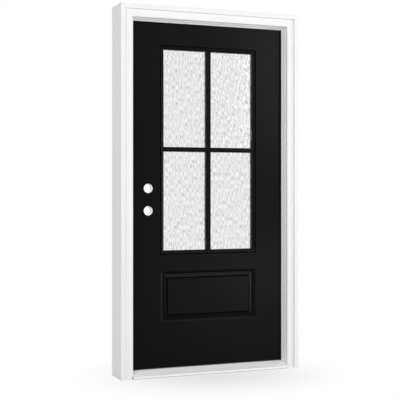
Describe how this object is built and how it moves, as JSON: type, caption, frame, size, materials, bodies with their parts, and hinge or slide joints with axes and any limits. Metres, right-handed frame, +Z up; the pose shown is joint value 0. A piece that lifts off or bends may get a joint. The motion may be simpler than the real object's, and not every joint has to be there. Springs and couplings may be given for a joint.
{
  "type": "prehung entry door",
  "caption": "Prehung inswing entry door: black slab with a divided obscure-glass light over a moulded panel, in a white cased frame with an aluminium sill.",
  "frame": {"origin": "on the underside of the sill, midway between the jambs, in the plane of the jambs' outside edge", "axes": "+X to the right seen from outside, +Y into the house, +Z up"},
  "size_m": [1.119, 0.1793, 2.125],
  "materials": {
    "white_trim": "satin white",
    "white_seal": "matte white",
    "sill_aluminium": "mill",
    "sill_composite": "matte",
    "black_fiberglass": "satin black paint",
    "stile_wood": "painted black",
    "core": "matte",
    "obscure_glass": "textured",
    "spacer_metal": "mill",
    "sweep_rubber": "matte black",
    "hinge_steel": "satin nickel"
  },
  "bodies": {
    "frame": {"head_brickmould": "white_trim", "head_extension": "white_trim", "head_jamb": "white_trim", "head_weatherstrip": "white_seal", "hinge_brickmould": "white_trim", "hinge_extension": "white_trim", "hinge_jamb": "white_trim", "hinge_weatherstrip": "white_seal", "latch_brickmould": "white_trim", "latch_extension": "white_trim", "latch_jamb": "white_trim", "latch_weatherstrip": "white_seal", "lower_hinge_jamb_leaf": "hinge_steel", "lower_hinge_pin": "hinge_steel", "middle_hinge_jamb_leaf": "hinge_steel", "middle_hinge_pin": "hinge_steel", "sill_base": "sill_composite", "sill_cap": "sill_composite", "sill_deck": "sill_aluminium", "upper_hinge_jamb_leaf": "hinge_steel", "upper_hinge_pin": "hinge_steel"},
    "door": {"bottom_rail": "stile_wood", "door_sweep": "sweep_rubber", "exterior_bottom_bead": "black_fiberglass", "exterior_grille": "black_fiberglass", "exterior_hinge_bead": "black_fiberglass", "exterior_latch_bead": "black_fiberglass", "exterior_skin": "black_fiberglass", "exterior_top_bead": "black_fiberglass", "foam_core": "core", "glass_spacer": "spacer_metal", "hinge_stile": "stile_wood", "inner_pane": "obscure_glass", "interior_bottom_bead": "black_fiberglass", "interior_grille": "black_fiberglass", "interior_hinge_bead": "black_fiberglass", "interior_latch_bead": "black_fiberglass", "interior_skin": "black_fiberglass", "interior_top_bead": "black_fiberglass", "latch_stile": "stile_wood", "lock_block": "core", "lower_hinge_door_leaf": "hinge_steel", "middle_hinge_door_leaf": "hinge_steel", "outer_pane": "obscure_glass", "top_rail": "stile_wood", "upper_hinge_door_leaf": "hinge_steel"}
  },
  "joints": [
    {"name": "door_swing", "type": "hinge", "parent": "frame", "child": "door", "pos_m": [0.4897, 0.08405, 1.0443], "axis": [0, 0, -1], "range_deg": [0, 110]}
  ]
}
